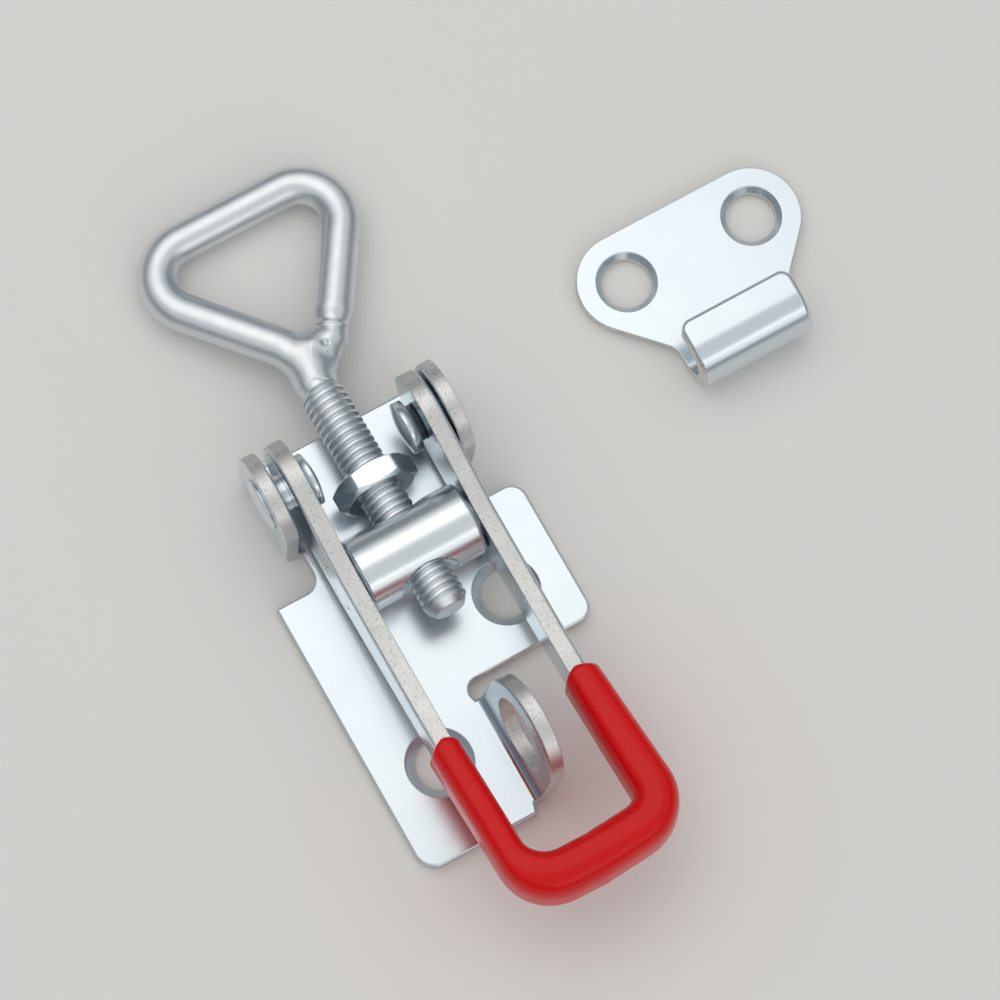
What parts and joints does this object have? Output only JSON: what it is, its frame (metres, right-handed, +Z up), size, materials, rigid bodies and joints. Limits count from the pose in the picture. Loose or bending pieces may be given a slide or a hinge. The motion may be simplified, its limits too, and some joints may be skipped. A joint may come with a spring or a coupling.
{
  "type": "over centre toggle latch",
  "caption": "Over-centre toggle latch: a dipped U handle pivoting between ears draws a screw-adjusted wire loop back over its separate hooked strike plate.",
  "frame": {"origin": "midway between the two screw holes of the base plate, on its underside", "axes": "+Z up out of the mounting surface, +Y from the handle towards the wire loop, +X towards the strike plate lying beside the latch"},
  "size_m": [0.0871, 0.1046, 0.0176],
  "materials": {
    "zinc_plated_sheet": "bright zinc plated cold rolled sheet",
    "zinc_plated_bar": "bright zinc plated turned bar",
    "zinc_plated_wire": "bright zinc plated drawn wire with a rolled thread",
    "red_vinyl": "glossy dipped soft vinyl"
  },
  "bodies": {
    "base": {"base_plate": "zinc_plated_sheet", "pivot_rivet_left": "zinc_plated_bar", "pivot_rivet_right": "zinc_plated_bar", "strike_plate": "zinc_plated_sheet"},
    "lever": {"lever_frame": "zinc_plated_sheet", "lever_grip": "red_vinyl"},
    "trunnion": {"trunnion": "zinc_plated_bar"},
    "loop_bolt": {"loop_bolt": "zinc_plated_wire"},
    "lock_nut": {"lock_nut": "zinc_plated_bar"}
  },
  "joints": [
    {"name": "lever_pivot", "type": "hinge", "parent": "base", "child": "lever", "pos_m": [0.0005, 0.031, 0.011], "axis": [-1, 0, 0], "range_deg": [-2, 150]},
    {"name": "trunnion_swivel", "type": "hinge", "parent": "lever", "child": "trunnion", "pos_m": [0.0005, 0.01727, 0.00899], "axis": [-1, 0, 0], "range_deg": [-150, 2]},
    {"name": "loop_adjust", "type": "slide", "parent": "trunnion", "child": "loop_bolt", "axis": [0, 0.9924, -0.1229], "range_m": [-0.0085, 0.004]},
    {"name": "nut_adjust", "type": "slide", "parent": "trunnion", "child": "lock_nut", "axis": [0, 0.9924, -0.1229], "range_m": [-0.003, 0.0008]}
  ],
  "couplings": [
    {"joint": "trunnion_swivel", "follows": "lever_pivot", "ratio": -1}
  ]
}
